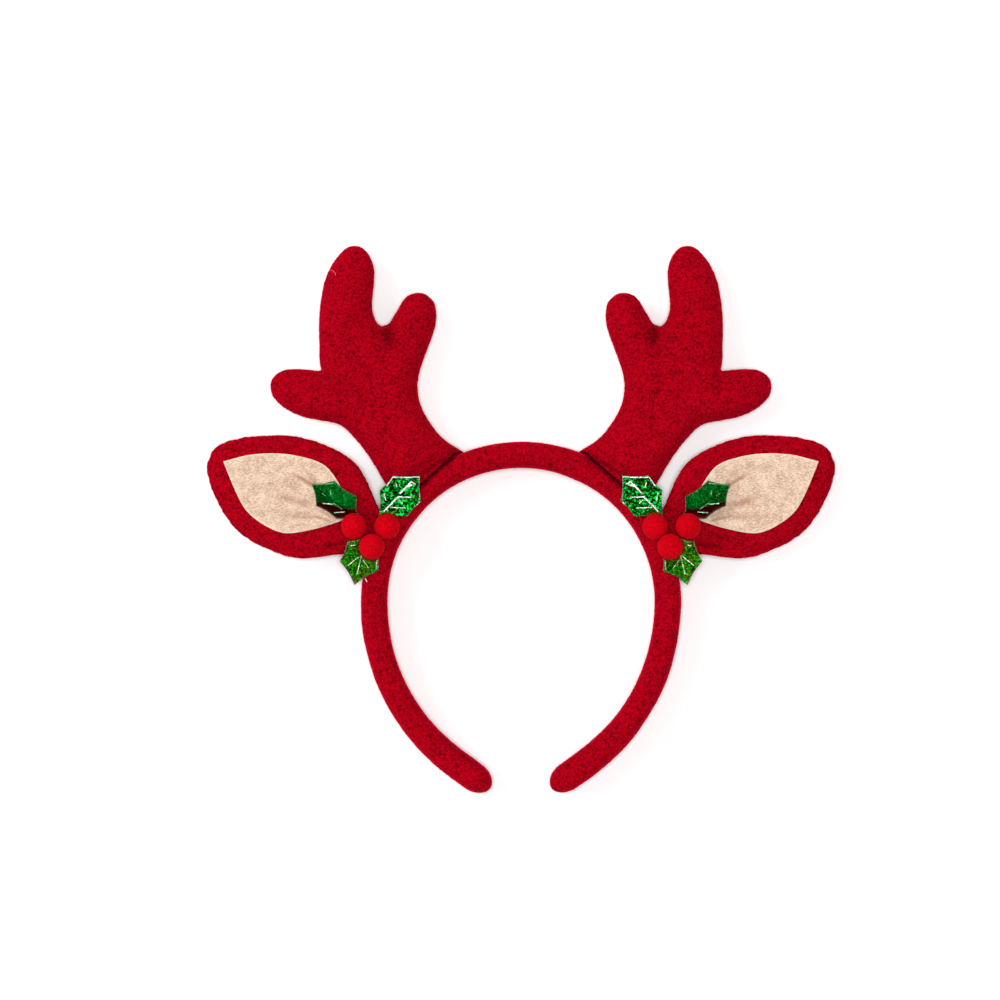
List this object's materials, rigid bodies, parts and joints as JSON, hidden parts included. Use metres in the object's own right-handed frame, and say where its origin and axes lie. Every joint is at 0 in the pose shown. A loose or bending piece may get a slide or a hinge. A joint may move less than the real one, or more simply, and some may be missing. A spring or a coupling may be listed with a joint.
{
  "type": "reindeer antler headband",
  "caption": "Padded fleece headband with stuffed reindeer antlers, cupped ears with felt inside them, and holly leaves and berries where the ears join the band.",
  "frame": {"origin": "middle of the outline in X and Y, on the table under the band's back edge", "axes": "+Z from the headband's back to its front, +X to the right and +Y towards the antler tips as seen from the front"},
  "size_m": [0.252, 0.2192, 0.0311],
  "materials": {
    "red_fleece": "short napped polar fleece, matt",
    "beige_felt": "short brushed felt, matt",
    "green_foil": "glittering metallic foil on thin plastic sheet",
    "berry_flock": "flocked foam ball, matt"
  },
  "bodies": {
    "root": {"band": "red_fleece", "left_antler": "red_fleece", "right_antler": "red_fleece", "left_ear": "red_fleece", "right_ear": "red_fleece", "left_inner_ear": "beige_felt", "right_inner_ear": "beige_felt", "left_leaf_upper": "green_foil", "left_leaf_outer": "green_foil", "left_leaf_lower": "green_foil", "right_leaf_upper": "green_foil", "right_leaf_outer": "green_foil", "right_leaf_lower": "green_foil", "left_berry_outer": "berry_flock", "left_berry_inner": "berry_flock", "left_berry_lower": "berry_flock", "right_berry_outer": "berry_flock", "right_berry_inner": "berry_flock", "right_berry_lower": "berry_flock"}
  },
  "joints": []
}
